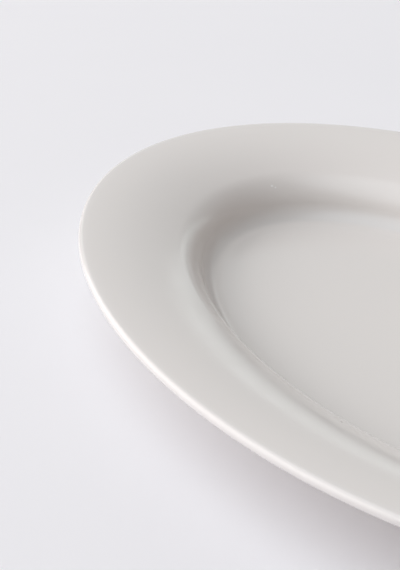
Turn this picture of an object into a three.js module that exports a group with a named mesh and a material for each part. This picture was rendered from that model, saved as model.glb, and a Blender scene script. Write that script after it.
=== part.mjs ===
import * as THREE from 'three';

// Boat-shaped serving plate: a long oval porcelain plate with a wide rim that rolls over a
// round shoulder into a flat oval well, standing on an oval foot ring.
// Millimetres, +Z up. The origin is on the table under the middle of the plate, and +X
// runs along its length.

// The oval, measured over the lip
const LENGTH = 305;
const WIDTH = 192;

// The face, from the lip in to the well
const RIM_WIDTH = 31; // lip edge to the top of the shoulder, at the plate's two sides
const END_STRETCH = 1.13; // how much wider the rim and wall are at the plate's two ends
const RIM_RISE = 6; // top of the shoulder up to the top of the lip
const LIP_SLOPE_DEG = 1; // rim's tilt where it meets the lip
const RIM_SLOPE_DEG = 23; // rim's tilt where it meets the shoulder
const SHOULDER_ROUND = 12; // radius that rolls the rim over into the wall
const WELL_ROUND = 7; // radius between the wall and the flat of the well
const WELL_DEPTH = 20.5; // top of the lip down to the flat of the well

// The clay
const BODY_THICKNESS = 4.4; // well, wall and inner rim
const LIP_THICKNESS = 3.2; // the rim thins to this, and its edge is fully round

// The foot ring
const FOOT_HEIGHT = 2.6;
const FOOT_WIDTH = 5;
const FOOT_INSET = 1.2; // edge of the well's flat in to the foot's flared seat
const FOOT_FLARE = 1; // slip smoothed into the corner on both sides of the foot
const FOOT_ROUND = 0.7; // worn round both edges of the standing face

// Fineness of the faceted solids
const OVAL_STEPS = 96;
const WELL_ROUND_STEPS = 5;
const SHOULDER_STEPS = 5;
const RIM_STEPS = 7;
const LIP_STEPS = 8;

const GLAZED_PORCELAIN = { color: 0xd6d3cf, roughness: 0.12, metalness: 0 };
const BARE_PORCELAIN = { color: 0xe6dfd3, roughness: 0.8, metalness: 0 };

const floorTop = FOOT_HEIGHT + BODY_THICKNESS;
const lipTop = floorTop + WELL_DEPTH;
const shoulderTop = lipTop - RIM_RISE;
const shoulderRadius = WIDTH / 2 - RIM_WIDTH;

// The shoulder's arc and the well's arc meet on the wall, where the face is steepest.
const rimTilt = THREE.MathUtils.degToRad(RIM_SLOPE_DEG);
const arcsDrop = shoulderTop - floorTop;
const arcsReach = SHOULDER_ROUND * Math.cos(rimTilt) + WELL_ROUND - arcsDrop;
const wallTilt = Math.acos(arcsReach / (SHOULDER_ROUND + WELL_ROUND));
const shoulderRun = SHOULDER_ROUND * (Math.sin(wallTilt) - Math.sin(rimTilt));
const floorRadius = shoulderRadius - shoulderRun - WELL_ROUND * Math.sin(wallTilt);

// Direction that climbs outward at an angle to the table.
function climb(degrees) {
  const angle = THREE.MathUtils.degToRad(degrees);
  return new THREE.Vector2(Math.cos(angle), Math.sin(angle));
}

// Direction square to a climb, up and towards the middle of the plate.
function squareTo(direction) {
  return new THREE.Vector2(-direction.y, direction.x);
}

// How much further an oval reaches along the plate than its radius across it.
function lengthening(radius) {
  const inFromLip = WIDTH / 2 - radius;
  return LENGTH / 2 - END_STRETCH * inFromLip - radius;
}

// Carries a section round the oval, as an oval lathe does: the section's x is a radius
// across the plate.
function turnOval(section) {
  const turned = new THREE.LatheGeometry(section, OVAL_STEPS);
  turned.rotateX(Math.PI / 2);
  const corners = turned.getAttribute('position');
  for (let i = 0; i < corners.count; i++) {
    const angle = (2 * Math.PI * Math.floor(i / section.length)) / OVAL_STEPS;
    const radius = section[i % section.length].x;
    corners.setX(i, corners.getX(i) + lengthening(radius) * Math.sin(angle));
  }
  return turned;
}

// Arc from the flat of the well up to the steepest part of the wall.
function wellArc() {
  const start = -Math.PI / 2;
  const middle = floorTop + WELL_ROUND;
  return new THREE.EllipseCurve(floorRadius, middle, WELL_ROUND, WELL_ROUND, start, start + wallTilt);
}

// Arc from the steepest part of the wall over the shoulder to the rim.
function shoulderArc() {
  const radius = SHOULDER_ROUND;
  const across = shoulderRadius + radius * Math.sin(rimTilt);
  const up = shoulderTop - radius * Math.cos(rimTilt);
  const start = Math.PI / 2 + wallTilt;
  const end = Math.PI / 2 + rimTilt;
  return new THREE.EllipseCurve(across, up, radius, radius, start, end, true);
}

// Curve from the shoulder out over the rim to the round of the lip.
function rimCurve(lipCentre) {
  const inner = new THREE.Vector2(shoulderRadius, shoulderTop);
  const lipClimb = climb(LIP_SLOPE_DEG);
  const outer = lipCentre.clone().addScaledVector(squareTo(lipClimb), LIP_THICKNESS / 2);
  const third = inner.distanceTo(outer) / 3;
  const innerHandle = inner.clone().addScaledVector(climb(RIM_SLOPE_DEG), third);
  const outerHandle = outer.clone().addScaledVector(lipClimb, -third);
  return new THREE.CubicBezierCurve(inner, innerHandle, outerHandle, outer);
}

// Section of the plate: the face from the middle of the well out to the lip, round the
// lip, and back along the underside, which keeps the clay's thickness below the face.
function plateSection() {
  const lipRadius = LIP_THICKNESS / 2;
  const lipCentre = new THREE.Vector2(WIDTH / 2 - lipRadius, lipTop - lipRadius);
  const face = [new THREE.Vector2(0, floorTop)];
  const underside = [new THREE.Vector2(0, floorTop - BODY_THICKNESS)];

  const addCurve = (curve, firstStep, steps, thicknessAtEnd) => {
    for (let i = firstStep; i <= steps; i++) {
      const share = i / steps;
      const point = curve.getPoint(share);
      const depth = THREE.MathUtils.lerp(BODY_THICKNESS, thicknessAtEnd, share);
      face.push(point);
      underside.push(point.clone().addScaledVector(squareTo(curve.getTangent(share)), -depth));
    }
  };
  addCurve(wellArc(), 0, WELL_ROUND_STEPS, BODY_THICKNESS);
  addCurve(shoulderArc(), 1, SHOULDER_STEPS, BODY_THICKNESS);
  addCurve(rimCurve(lipCentre), 1, RIM_STEPS, LIP_THICKNESS);

  const lip = [];
  for (let i = 1; i < LIP_STEPS; i++) {
    const direction = climb(90 + LIP_SLOPE_DEG - (180 * i) / LIP_STEPS);
    lip.push(lipCentre.clone().addScaledVector(direction, lipRadius));
  }
  return [...face, ...lip, ...underside.reverse()].reverse();
}

// Section of the foot ring: a flared seat against the underside of the well, upright
// sides and a flat standing face with rounded edges.
function footSection() {
  const seatOuter = floorRadius - FOOT_INSET;
  const outer = seatOuter - FOOT_FLARE;
  const inner = outer - FOOT_WIDTH;
  const flareFoot = FOOT_HEIGHT - FOOT_FLARE;
  const section = new THREE.Path();
  section.moveTo(inner + FOOT_ROUND, 0);
  section.lineTo(outer - FOOT_ROUND, 0);
  section.quadraticCurveTo(outer, 0, outer, FOOT_ROUND);
  section.lineTo(outer, flareFoot);
  section.lineTo(seatOuter, FOOT_HEIGHT);
  section.lineTo(inner - FOOT_FLARE, FOOT_HEIGHT);
  section.lineTo(inner, flareFoot);
  section.lineTo(inner, FOOT_ROUND);
  section.quadraticCurveTo(inner, 0, inner + FOOT_ROUND, 0);
  return section.getPoints(3);
}

function piece(name, section, finish) {
  const mesh = new THREE.Mesh(turnOval(section), new THREE.MeshStandardMaterial(finish));
  mesh.name = name;
  return mesh;
}

const plate = new THREE.Group();
plate.add(piece('plate_body', plateSection(), GLAZED_PORCELAIN));
plate.add(piece('foot_ring', footSection(), BARE_PORCELAIN));

export default plate;
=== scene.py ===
import math
import bpy
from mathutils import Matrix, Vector


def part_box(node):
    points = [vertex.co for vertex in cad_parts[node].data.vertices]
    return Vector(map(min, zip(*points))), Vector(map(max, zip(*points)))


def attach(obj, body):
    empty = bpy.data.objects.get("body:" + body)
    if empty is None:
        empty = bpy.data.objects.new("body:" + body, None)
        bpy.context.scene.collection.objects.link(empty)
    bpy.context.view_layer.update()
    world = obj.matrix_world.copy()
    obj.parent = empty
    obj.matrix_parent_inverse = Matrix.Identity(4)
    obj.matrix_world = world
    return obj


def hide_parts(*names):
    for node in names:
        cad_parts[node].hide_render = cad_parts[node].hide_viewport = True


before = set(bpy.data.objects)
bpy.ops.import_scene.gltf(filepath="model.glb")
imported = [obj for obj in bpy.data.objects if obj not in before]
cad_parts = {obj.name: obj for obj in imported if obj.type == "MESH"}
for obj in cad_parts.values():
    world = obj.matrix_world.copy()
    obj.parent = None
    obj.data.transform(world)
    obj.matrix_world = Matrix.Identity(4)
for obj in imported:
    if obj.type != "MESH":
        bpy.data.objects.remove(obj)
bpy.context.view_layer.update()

# Plate body
# Pressed porcelain in one long oval: flat well, round shoulder, wide rim and a fully round lip.
# It is pressed in a plaster mould, sponged smooth at the lip, and glazed all over before firing.
MM = 0.001
RIM_WIDTH = 31 * MM  # lip edge to the top of the shoulder, at the plate's two sides
END_STRETCH = 1.13  # how much wider the rim and wall are at the plate's two ends
RIM_RISE = 6 * MM  # top of the shoulder up to the top of the lip
LIP_TILT = math.radians(1)  # rim's tilt where it meets the lip
RIM_TILT = math.radians(23)  # rim's tilt where it meets the shoulder
SHOULDER_ROUND = 12 * MM
WELL_ROUND = 7 * MM
WELL_DEPTH = 20.5 * MM  # top of the lip down to the flat of the well
BODY_THICKNESS = 4.4 * MM
LIP_THICKNESS = 3.2 * MM
FLAT_MARGIN = 2 * MM  # strip of the flat that keeps the shading of the round off the rest
OVAL_STEPS = 432
WELL_ROUND_STEPS = 12
SHOULDER_STEPS = 60
BACK_SHOULDER_STEPS = 20  # the shoulder's underside needs fewer
RIM_STEPS = 20
LIP_STEPS = 18

plate_low, plate_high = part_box("plate_body")
half_width = (plate_high.y - plate_low.y) / 2
half_length = (plate_high.x - plate_low.x) / 2
lip_top = plate_high.z
underside = plate_low.z
floor_top = lip_top - WELL_DEPTH
shoulder = Vector((half_width - RIM_WIDTH, lip_top - RIM_RISE))

# The arc of the shoulder and the arc of the well meet where the wall is steepest
arcs_reach = SHOULDER_ROUND * math.cos(RIM_TILT) + WELL_ROUND - (shoulder.y - floor_top)
wall_tilt = math.acos(arcs_reach / (SHOULDER_ROUND + WELL_ROUND))
shoulder_run = SHOULDER_ROUND * (math.sin(wall_tilt) - math.sin(RIM_TILT))
floor_radius = shoulder.x - shoulder_run - WELL_ROUND * math.sin(wall_tilt)


def climb(tilt):
    """Direction that climbs outward at a tilt to the table."""
    return Vector((math.cos(tilt), math.sin(tilt)))


def square_to(direction):
    """Direction square to a climb, up and towards the middle of the plate."""
    return Vector((-direction.y, direction.x))


# The face from the well out to the lip, and the underside at the clay's thickness below it
face = [Vector((floor_radius - FLAT_MARGIN, floor_top))]
back = [Vector((floor_radius - FLAT_MARGIN, underside))]
for i in range(WELL_ROUND_STEPS + 1):
    tilt = wall_tilt * i / WELL_ROUND_STEPS
    turn = Vector((math.sin(tilt), 1 - math.cos(tilt)))
    face.append(Vector((floor_radius, floor_top)) + turn * WELL_ROUND)
    back.append(face[-1] - square_to(climb(tilt)) * BODY_THICKNESS)
steps_to_back_step = SHOULDER_STEPS // BACK_SHOULDER_STEPS
for i in range(1, SHOULDER_STEPS + 1):
    tilt = wall_tilt + (RIM_TILT - wall_tilt) * i / SHOULDER_STEPS
    turn = square_to(climb(tilt)) - square_to(climb(RIM_TILT))
    face.append(shoulder + turn * SHOULDER_ROUND)
    if i % steps_to_back_step == 0:
        back.append(face[-1] - square_to(climb(tilt)) * BODY_THICKNESS)

lip_centre = Vector((half_width - LIP_THICKNESS / 2, lip_top - LIP_THICKNESS / 2))
rim_edge = lip_centre + square_to(climb(LIP_TILT)) * LIP_THICKNESS / 2
rim_third = (rim_edge - shoulder).length / 3
rim_inner_handle = shoulder + climb(RIM_TILT) * rim_third
rim_outer_handle = rim_edge - climb(LIP_TILT) * rim_third


def rim_curve(share):
    """Point and direction at a share of the way along the rim, from the shoulder to the lip."""
    from_shoulder = shoulder.lerp(rim_inner_handle, share)
    between = rim_inner_handle.lerp(rim_outer_handle, share)
    to_edge = rim_outer_handle.lerp(rim_edge, share)
    start = from_shoulder.lerp(between, share)
    end = between.lerp(to_edge, share)
    return start.lerp(end, share), (end - start).normalized()


for i in range(1, RIM_STEPS + 1):
    share = i / RIM_STEPS
    point, direction = rim_curve(share)
    thickness = BODY_THICKNESS + (LIP_THICKNESS - BODY_THICKNESS) * share
    face.append(point)
    back.append(point - square_to(direction) * thickness)
lip = []
for i in range(1, LIP_STEPS):
    angle = math.pi / 2 + LIP_TILT - math.pi * i / LIP_STEPS
    lip.append(lip_centre + climb(angle) * LIP_THICKNESS / 2)


def oval(radius):
    """Half the length and half the width of the oval at a radius across the plate."""
    return half_length - END_STRETCH * (half_width - radius), radius


def loft_ovals(name, section):
    """Pulls a circle into the first oval, then extrudes it through the section's other ovals."""
    bpy.ops.object.select_all(action="DESELECT")
    radius, height = section[0]
    length, width = oval(radius)
    bpy.ops.mesh.primitive_circle_add(vertices=OVAL_STEPS, radius=radius)
    piece = bpy.context.object
    piece.name = name
    bpy.ops.object.mode_set(mode="EDIT")
    bpy.ops.transform.translate(value=(0, 0, height))
    bpy.ops.transform.resize(value=(length / width, 1, 1), center_override=(0, 0, 0))
    for next_radius, next_height in section[1:]:
        next_length, next_width = oval(next_radius)
        rise = (0, 0, next_height - height)
        growth = (next_length / length, next_width / width, 1)
        bpy.ops.mesh.extrude_edges_move(TRANSFORM_OT_translate={"value": rise})
        bpy.ops.transform.resize(value=growth, center_override=(0, 0, 0))
        length, width, height = next_length, next_width, next_height
    return piece


# The two open ovals that are left, under the well and on its floor, are each closed by a face
plate = loft_ovals("glazed_plate", face + lip + back[::-1])
bpy.ops.mesh.edge_face_add()
bpy.ops.mesh.select_all(action="DESELECT")
bpy.ops.mesh.select_non_manifold()
bpy.ops.mesh.edge_face_add()
bpy.ops.mesh.select_all(action="SELECT")
bpy.ops.mesh.normals_make_consistent(inside=False)
bpy.ops.object.mode_set(mode="OBJECT")
bpy.ops.object.shade_smooth()


def feed(material, socket, value):
    """Links another node's output to a socket, or sets the socket to a plain value."""
    if isinstance(value, bpy.types.NodeSocket):
        material.node_tree.links.new(value, socket)
    else:
        socket.default_value = value


def add_node(material, kind, inputs=None, **settings):
    """Adds a node to a material or the room, with settings and with values or links as inputs."""
    node = material.node_tree.nodes.new(kind)
    for name, value in settings.items():
        setattr(node, name, value)
    for socket, value in (inputs or {}).items():
        feed(material, node.inputs[socket], value)
    return node


def new_finish(name):
    """Starts a material, and gives it with its shader and with the place of each point."""
    finish = bpy.data.materials.new(name)
    finish.use_nodes = True
    place = add_node(finish, "ShaderNodeTexCoord").outputs["Object"]
    return finish, finish.node_tree.nodes["Principled BSDF"], place


def height_of(material, place):
    """Upward part of a place or of a direction."""
    return add_node(material, "ShaderNodeSeparateXYZ", {0: place}).outputs["Z"]


def blend(material, share, first, second):
    """Colour that goes from the first to the second as the share goes from 0 to 1."""
    mix = add_node(material, "ShaderNodeMix", data_type="RGBA")
    sockets = {slot.name: slot for slot in mix.inputs if slot.enabled}
    for name, value in (("Factor", share), ("A", first), ("B", second)):
        feed(material, sockets[name], value)
    return [slot for slot in mix.outputs if slot.enabled][0]


def ease(material, value, start, end, low=0.0, high=1.0):
    """Number that eases from low to high as a value goes from start to end."""
    inputs = {"Value": value, "From Min": start, "From Max": end, "To Min": low, "To Max": high}
    easing = add_node(material, "ShaderNodeMapRange", inputs, interpolation_type="SMOOTHSTEP")
    return easing.outputs["Result"]


def mottle(material, place, size, detail=2.0):
    """Soft cloudy pattern from 0 to 1, with clouds of about the given size."""
    inputs = {"Vector": place, "Scale": 1 / size, "Detail": detail}
    return add_node(material, "ShaderNodeTexNoise", inputs).outputs["Fac"]


def relief(material, pattern, height):
    """Surface direction over bumps that rise to a height with a pattern."""
    inputs = {"Height": pattern, "Strength": 1.0, "Distance": height}
    return add_node(material, "ShaderNodeBump", inputs).outputs["Normal"]


CLAY_WARM = (0.775, 0.742, 0.715, 1)
CLAY_COOL = (0.752, 0.724, 0.700, 1)
CLAY_CLOUD = 60 * MM
# Grey at the foot of the wall: pooled glaze together with painted shade in that corner
POOLED_GLAZE_AND_SHADE = (0.655, 0.645, 0.635, 1)
SHADE_POOL_START = floor_top + 0.2 * MM
SHADE_POOL_DEEPEST = floor_top + 1.2 * MM
SHADE_POOL_END = floor_top + 6 * MM
SHADE_POOL_STRENGTH = 0.5
THIN_GLAZE = (0.760, 0.738, 0.722, 1)
THIN_START = 0.970  # shares of the way from the plate's middle out to its edge
THIN_END = 0.992
THIN_STRENGTH = 0.6
PIN_GREY = (0.36, 0.33, 0.30, 1)
PALE_SPECK = (0.90, 0.89, 0.88, 1)
SPECK_CORE = 1 / 3  # share of a speck's radius that has its full colour
GLAZE_ROUGHNESS = (0.13, 0.18)
GLOSS_CLOUD = 12 * MM
GLOSS_CLOUD_SPAN = (0.3, 0.7)  # part of the pattern over which the gloss changes
GLAZE_IOR = 1.52
WAVE_LENGTH = 35 * MM
WAVE_HEIGHT = 0.05 * MM

glaze, glaze_shader, glaze_place = new_finish("glazed_porcelain")
clay_cloud = mottle(glaze, glaze_place, CLAY_CLOUD, detail=3.0)
clay_colour = blend(glaze, clay_cloud, CLAY_WARM, CLAY_COOL)

# Painted shade darkens the foot of the wall, where the glaze also pools, and the glaze runs thin
# over the lip
glaze_height = height_of(glaze, glaze_place)
shade_pool_foot = ease(glaze, glaze_height, SHADE_POOL_START, SHADE_POOL_DEEPEST)
shade_pool_top = ease(glaze, glaze_height, SHADE_POOL_DEEPEST, SHADE_POOL_END, SHADE_POOL_STRENGTH, 0.0)
pool_and_shade = add_node(glaze, "ShaderNodeMath", {0: shade_pool_foot, 1: shade_pool_top}, operation="MULTIPLY")
pooled_and_shaded_colour = blend(glaze, pool_and_shade.outputs[0], clay_colour, POOLED_GLAZE_AND_SHADE)
to_oval = {0: glaze_place, 1: (1 / half_length, 1 / half_width, 0)}
on_oval = add_node(glaze, "ShaderNodeVectorMath", to_oval, operation="MULTIPLY").outputs[0]
reach = add_node(glaze, "ShaderNodeVectorMath", {0: on_oval}, operation="LENGTH")
thin = ease(glaze, reach.outputs["Value"], THIN_START, THIN_END, 0.0, THIN_STRENGTH)
glaze_colour = blend(glaze, thin, pooled_and_shaded_colour, THIN_GLAZE)

# One pinhole on the near shoulder, and two pale specks side by side on the far wall
for place, radius, speck_colour in (
    (Vector((38.8, -62.3, 21.9)) * MM, 0.45 * MM, PIN_GREY),
    (Vector((-112.5, 4.7, 18.6)) * MM, 0.60 * MM, PALE_SPECK),
    (Vector((-111.8, 5.7, 18.1)) * MM, 0.45 * MM, PALE_SPECK),
):
    gap = {0: glaze_place, 1: place}
    from_speck = add_node(glaze, "ShaderNodeVectorMath", gap, operation="DISTANCE")
    on_speck = ease(glaze, from_speck.outputs["Value"], radius * SPECK_CORE, radius, 1.0, 0.0)
    glaze_colour = blend(glaze, on_speck, glaze_colour, speck_colour)

gloss_cloud = mottle(glaze, glaze_place, GLOSS_CLOUD)
glaze_roughness = ease(glaze, gloss_cloud, *GLOSS_CLOUD_SPAN, *GLAZE_ROUGHNESS)
glaze_normal = relief(glaze, mottle(glaze, glaze_place, WAVE_LENGTH), WAVE_HEIGHT)
feed(glaze, glaze_shader.inputs["Base Color"], glaze_colour)
feed(glaze, glaze_shader.inputs["Roughness"], glaze_roughness)
feed(glaze, glaze_shader.inputs["Normal"], glaze_normal)
feed(glaze, glaze_shader.inputs["IOR"], GLAZE_IOR)
plate.data.materials.append(glaze)
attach(plate, "root")
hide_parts("plate_body")

# Foot ring
# A low oval ring of the same porcelain, luted to the underside of the well. Its standing face is
# wiped clean of glaze so that it does not stick in the kiln, and is ground flat after firing.
FOOT_WIDTH = 5 * MM
FOOT_FLARE = 1 * MM  # slip smoothed into the corner under the well, on both sides of the ring
FOOT_ROUND = 0.7 * MM  # worn round both edges of the standing face
CORNER_STEPS = 6
WELD_GAP = 0.01 * MM
SHARPEST_SMOOTH = math.radians(40)

foot_low, foot_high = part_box("foot_ring")
seat_outer = (foot_high.y - foot_low.y) / 2
foot_outer = seat_outer - FOOT_FLARE
foot_inner = foot_outer - FOOT_WIDTH
foot_top = foot_high.z

# The outer side from the seat down to the standing face, then its mirror image
swings = [math.pi / 2 * i / CORNER_STEPS for i in range(CORNER_STEPS + 1)]
ring = []
for swing in swings:
    flare_down = FOOT_FLARE * (1 - math.cos(swing))
    ring.append((seat_outer - FOOT_FLARE * math.sin(swing), foot_top - flare_down))
for swing in swings:
    round_in = FOOT_ROUND * (1 - math.cos(swing))
    ring.append((foot_outer - round_in, FOOT_ROUND * (1 - math.sin(swing))))
middle = (foot_outer + foot_inner) / 2
ring += [(2 * middle - radius, height) for radius, height in ring[::-1]]
ring.append(ring[0])

foot = loft_ovals("bare_foot_ring", ring)
bpy.ops.mesh.select_all(action="SELECT")
bpy.ops.mesh.remove_doubles(threshold=WELD_GAP)
bpy.ops.mesh.normals_make_consistent(inside=False)
bpy.ops.object.mode_set(mode="OBJECT")
bpy.ops.object.shade_smooth_by_angle(angle=SHARPEST_SMOOTH)

BISCUIT_PALE = (0.82, 0.77, 0.68, 1)
BISCUIT_DARK = (0.74, 0.69, 0.60, 1)
BISCUIT_ROUGHNESS = 0.8
GRAIN_SIZE = 0.8 * MM
GRAIN_HEIGHT = 0.02 * MM
RUBBED_FACE = (0.66, 0.63, 0.58, 1)
RUB_START = 0.05 * MM
RUB_END = 0.35 * MM
RUB_STRENGTH = 0.8
GLAZE_LINE = 1.5 * MM
LINE_SOFTNESS = 0.1 * MM
LINE_WANDER = 0.5 * MM
LINE_CLOUD = 9 * MM
LINE_CLOUD_SPAN = (0.2, 0.8)  # part of the pattern over which the line wanders
FOOT_GLAZE_ROUGHNESS = 0.14

biscuit, biscuit_shader, biscuit_place = new_finish("bare_porcelain")
biscuit_height = height_of(biscuit, biscuit_place)
biscuit_grain = mottle(biscuit, biscuit_place, GRAIN_SIZE, detail=5.0)
bare_colour = blend(biscuit, biscuit_grain, BISCUIT_PALE, BISCUIT_DARK)

# The glaze stops in a wavy line on the foot's sides, and the standing face is rubbed grey
rubbed = ease(biscuit, biscuit_height, RUB_START, RUB_END, RUB_STRENGTH, 0.0)
worn_colour = blend(biscuit, rubbed, bare_colour, RUBBED_FACE)
line_cloud = mottle(biscuit, biscuit_place, LINE_CLOUD)
wander = ease(biscuit, line_cloud, *LINE_CLOUD_SPAN, -LINE_WANDER, LINE_WANDER)
wavy_height = add_node(biscuit, "ShaderNodeMath", {0: biscuit_height, 1: wander}, operation="ADD")
line_foot = GLAZE_LINE - LINE_SOFTNESS
line_top = GLAZE_LINE + LINE_SOFTNESS
glazed = ease(biscuit, wavy_height.outputs[0], line_foot, line_top)
biscuit_colour = blend(biscuit, glazed, worn_colour, CLAY_COOL)
biscuit_roughness = ease(biscuit, glazed, 0.0, 1.0, BISCUIT_ROUGHNESS, FOOT_GLAZE_ROUGHNESS)
feed(biscuit, biscuit_shader.inputs["Base Color"], biscuit_colour)
feed(biscuit, biscuit_shader.inputs["Roughness"], biscuit_roughness)
feed(biscuit, biscuit_shader.inputs["Normal"], relief(biscuit, biscuit_grain, GRAIN_HEIGHT))
foot.data.materials.append(biscuit)
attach(foot, "root")
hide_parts("foot_ring")

# Table
# A plain white table top that the plate stands on, lacquered and rubbed to a soft sheen. It
# ends short of the lamps, so that none of them lights a patch of it.
TABLE_SPAN = 3.2
TABLE_WHITE = (0.890, 0.885, 0.908, 1)
TABLE_GREY = (0.870, 0.865, 0.892, 1)
TABLE_CLOUD = 90 * MM
TABLE_GRAIN_SIZE = 1.2 * MM
TABLE_GRAIN_HEIGHT = 0.01 * MM
TABLE_ROUGHNESS = 0.7

bpy.ops.object.select_all(action="DESELECT")
bpy.ops.mesh.primitive_plane_add(size=TABLE_SPAN)
table = bpy.context.object
table.name = "table"

lacquer, lacquer_shader, lacquer_place = new_finish("white_table")
table_cloud = mottle(lacquer, lacquer_place, TABLE_CLOUD, detail=4.0)
table_colour = blend(lacquer, table_cloud, TABLE_WHITE, TABLE_GREY)
table_grain = mottle(lacquer, lacquer_place, TABLE_GRAIN_SIZE)
feed(lacquer, lacquer_shader.inputs["Base Color"], table_colour)
feed(lacquer, lacquer_shader.inputs["Roughness"], TABLE_ROUGHNESS)
feed(lacquer, lacquer_shader.inputs["Normal"], relief(lacquer, table_grain, TABLE_GRAIN_HEIGHT))
table.data.materials.append(lacquer)

# Lamps
# A wide window on the left, a low strip under it that catches the lip, and a low strip behind.
# They are flat soft lamps that stand round the table and face the plate, out of the camera's sight.
LAMP_DISTANCE = 2.8
WARM_WHITE = (1.0, 0.935, 0.915)
COOL_WHITE = (0.92, 1.0, 0.98)


def direction_to(azimuth, elevation):
    """Direction from the plate at an azimuth from +X and an elevation, both in degrees."""
    turn = math.radians(azimuth)
    lift = math.radians(elevation)
    return Vector((
        math.cos(turn) * math.cos(lift),
        math.sin(turn) * math.cos(lift),
        math.sin(lift),
    ))


for name, azimuth, elevation, width, height, watts, colour in (
    ("window", 228, 26, 4.4, 1.6, 44, WARM_WHITE),
    ("low_strip", 230, 7, 4.8, 0.6, 19, WARM_WHITE),
    ("back_strip", 138, 10, 4.4, 0.44, 4, COOL_WHITE),
):
    towards_lamp = direction_to(azimuth, elevation)
    bpy.ops.object.light_add(type="AREA", location=towards_lamp * LAMP_DISTANCE)
    lamp = bpy.context.object
    lamp.name = name
    lamp.rotation_euler = towards_lamp.to_track_quat("Z", "Y").to_euler()
    lamp.data.shape = "RECTANGLE"
    lamp.data.size = width
    lamp.data.size_y = height
    lamp.data.energy = watts
    lamp.data.color = colour
    lamp.visible_camera = False

# Room
# A plain room round the table, dim along the foot of its walls, with a paler wall behind and one
# wide soft glow of daylight high on the left. The camera sees it as white.
ROOM_LIGHT = (0.325, 0.293, 0.280, 1)
ROOM_FOOT = (0.06, 0.05, 0.045, 1)
FOOT_ELEVATION = math.radians(5)
WALL_ELEVATION = math.radians(12)
BACK_WALL = (0.64, 0.65, 0.645, 1)
BACK_WALL_AT = (140, 18, 55)  # azimuth, elevation and spread, in degrees
DAYLIGHT = (1.62, 1.72, 1.80, 1)
DAYLIGHT_AT = (260, 57, 50)
SEEN_WHITE = (1, 1, 1, 1)

room = bpy.data.worlds.new("room")
bpy.context.scene.world = room
room.use_nodes = True
room_light = room.node_tree.nodes["Background"]
room_towards = add_node(room, "ShaderNodeTexCoord").outputs["Generated"]


def glow(azimuth, elevation, spread):
    """Share that eases from 0 to 1 towards a direction, starting a spread away, in degrees."""
    facing = {0: room_towards, 1: direction_to(azimuth, elevation)}
    nearness = add_node(room, "ShaderNodeVectorMath", facing, operation="DOT_PRODUCT")
    return ease(room, nearness.outputs["Value"], math.cos(math.radians(spread)), 1.0)


wall_colour = blend(room, glow(*BACK_WALL_AT), ROOM_LIGHT, BACK_WALL)
room_height = height_of(room, room_towards)
above_foot = ease(room, room_height, math.sin(FOOT_ELEVATION), math.sin(WALL_ELEVATION))
footed_colour = blend(room, above_foot, ROOM_FOOT, wall_colour)
room_colour = blend(room, glow(*DAYLIGHT_AT), footed_colour, DAYLIGHT)
feed(room, room_light.inputs["Color"], room_colour)
backdrop = add_node(room, "ShaderNodeBackground", {"Color": SEEN_WHITE})
seen = add_node(room, "ShaderNodeLightPath").outputs["Is Camera Ray"]
views = {0: seen, 1: room_light.outputs[0], 2: backdrop.outputs[0]}
shown = add_node(room, "ShaderNodeMixShader", views).outputs[0]
feed(room, room.node_tree.nodes["World Output"].inputs["Surface"], shown)

# Camera
# A long lens about half a metre away, beside the plate's +X end, that looks down along the plate
# at its other end. It is aimed at a point level with the lip.
CAMERA_LENS = 101
CAMERA_DISTANCE = 0.4589
CAMERA_AZIMUTH = 332.41
CAMERA_ELEVATION = 25.61
CAMERA_AIM = Vector((-0.03757, -0.0624, lip_top))

towards_camera = direction_to(CAMERA_AZIMUTH, CAMERA_ELEVATION)
bpy.ops.object.camera_add(location=CAMERA_AIM + towards_camera * CAMERA_DISTANCE)
camera = bpy.context.object
camera.rotation_euler = towards_camera.to_track_quat("Z", "Y").to_euler()
camera.data.lens = CAMERA_LENS
bpy.context.scene.camera = camera
bpy.context.scene.view_settings.view_transform = "Standard"
